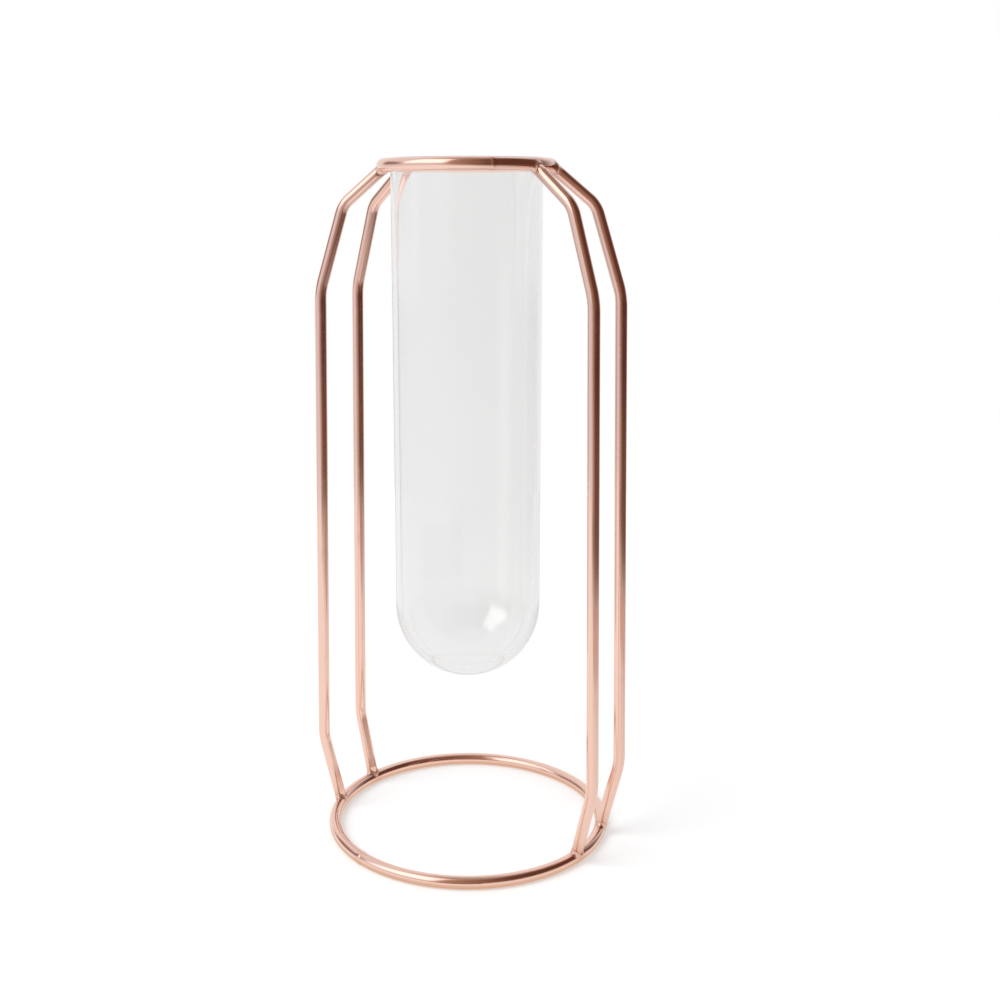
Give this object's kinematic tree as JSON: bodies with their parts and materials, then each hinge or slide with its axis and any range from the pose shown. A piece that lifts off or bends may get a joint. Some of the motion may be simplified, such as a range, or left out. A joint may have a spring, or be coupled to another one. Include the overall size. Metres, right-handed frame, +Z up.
{
  "type": "test tube vase",
  "caption": "Bud vase: a clear round-bottomed glass test tube hangs by its lip in a rose-gold wire cage and lifts out for filling.",
  "frame": {"origin": "on the table, at the middle of the base ring and on the tube's axis", "axes": "+Z up along the tube, +X through the middle of one pair of legs"},
  "size_m": [0.0928, 0.0848, 0.1994],
  "materials": {
    "rose_gold": "polished rose-gold plating on steel wire",
    "clear_glass": "clear, fire polished"
  },
  "bodies": {
    "frame": {"top_ring": "rose_gold", "base_ring": "rose_gold", "leg_front_left": "rose_gold", "leg_back_left": "rose_gold", "leg_front_right": "rose_gold", "leg_back_right": "rose_gold", "top_welds": "rose_gold", "base_welds": "rose_gold"},
    "tube": {"test_tube": "clear_glass"}
  },
  "joints": [
    {"name": "tube_lift", "type": "slide", "parent": "frame", "child": "tube", "axis": [0, 0, 1], "range_m": [0, 0.156]}
  ]
}
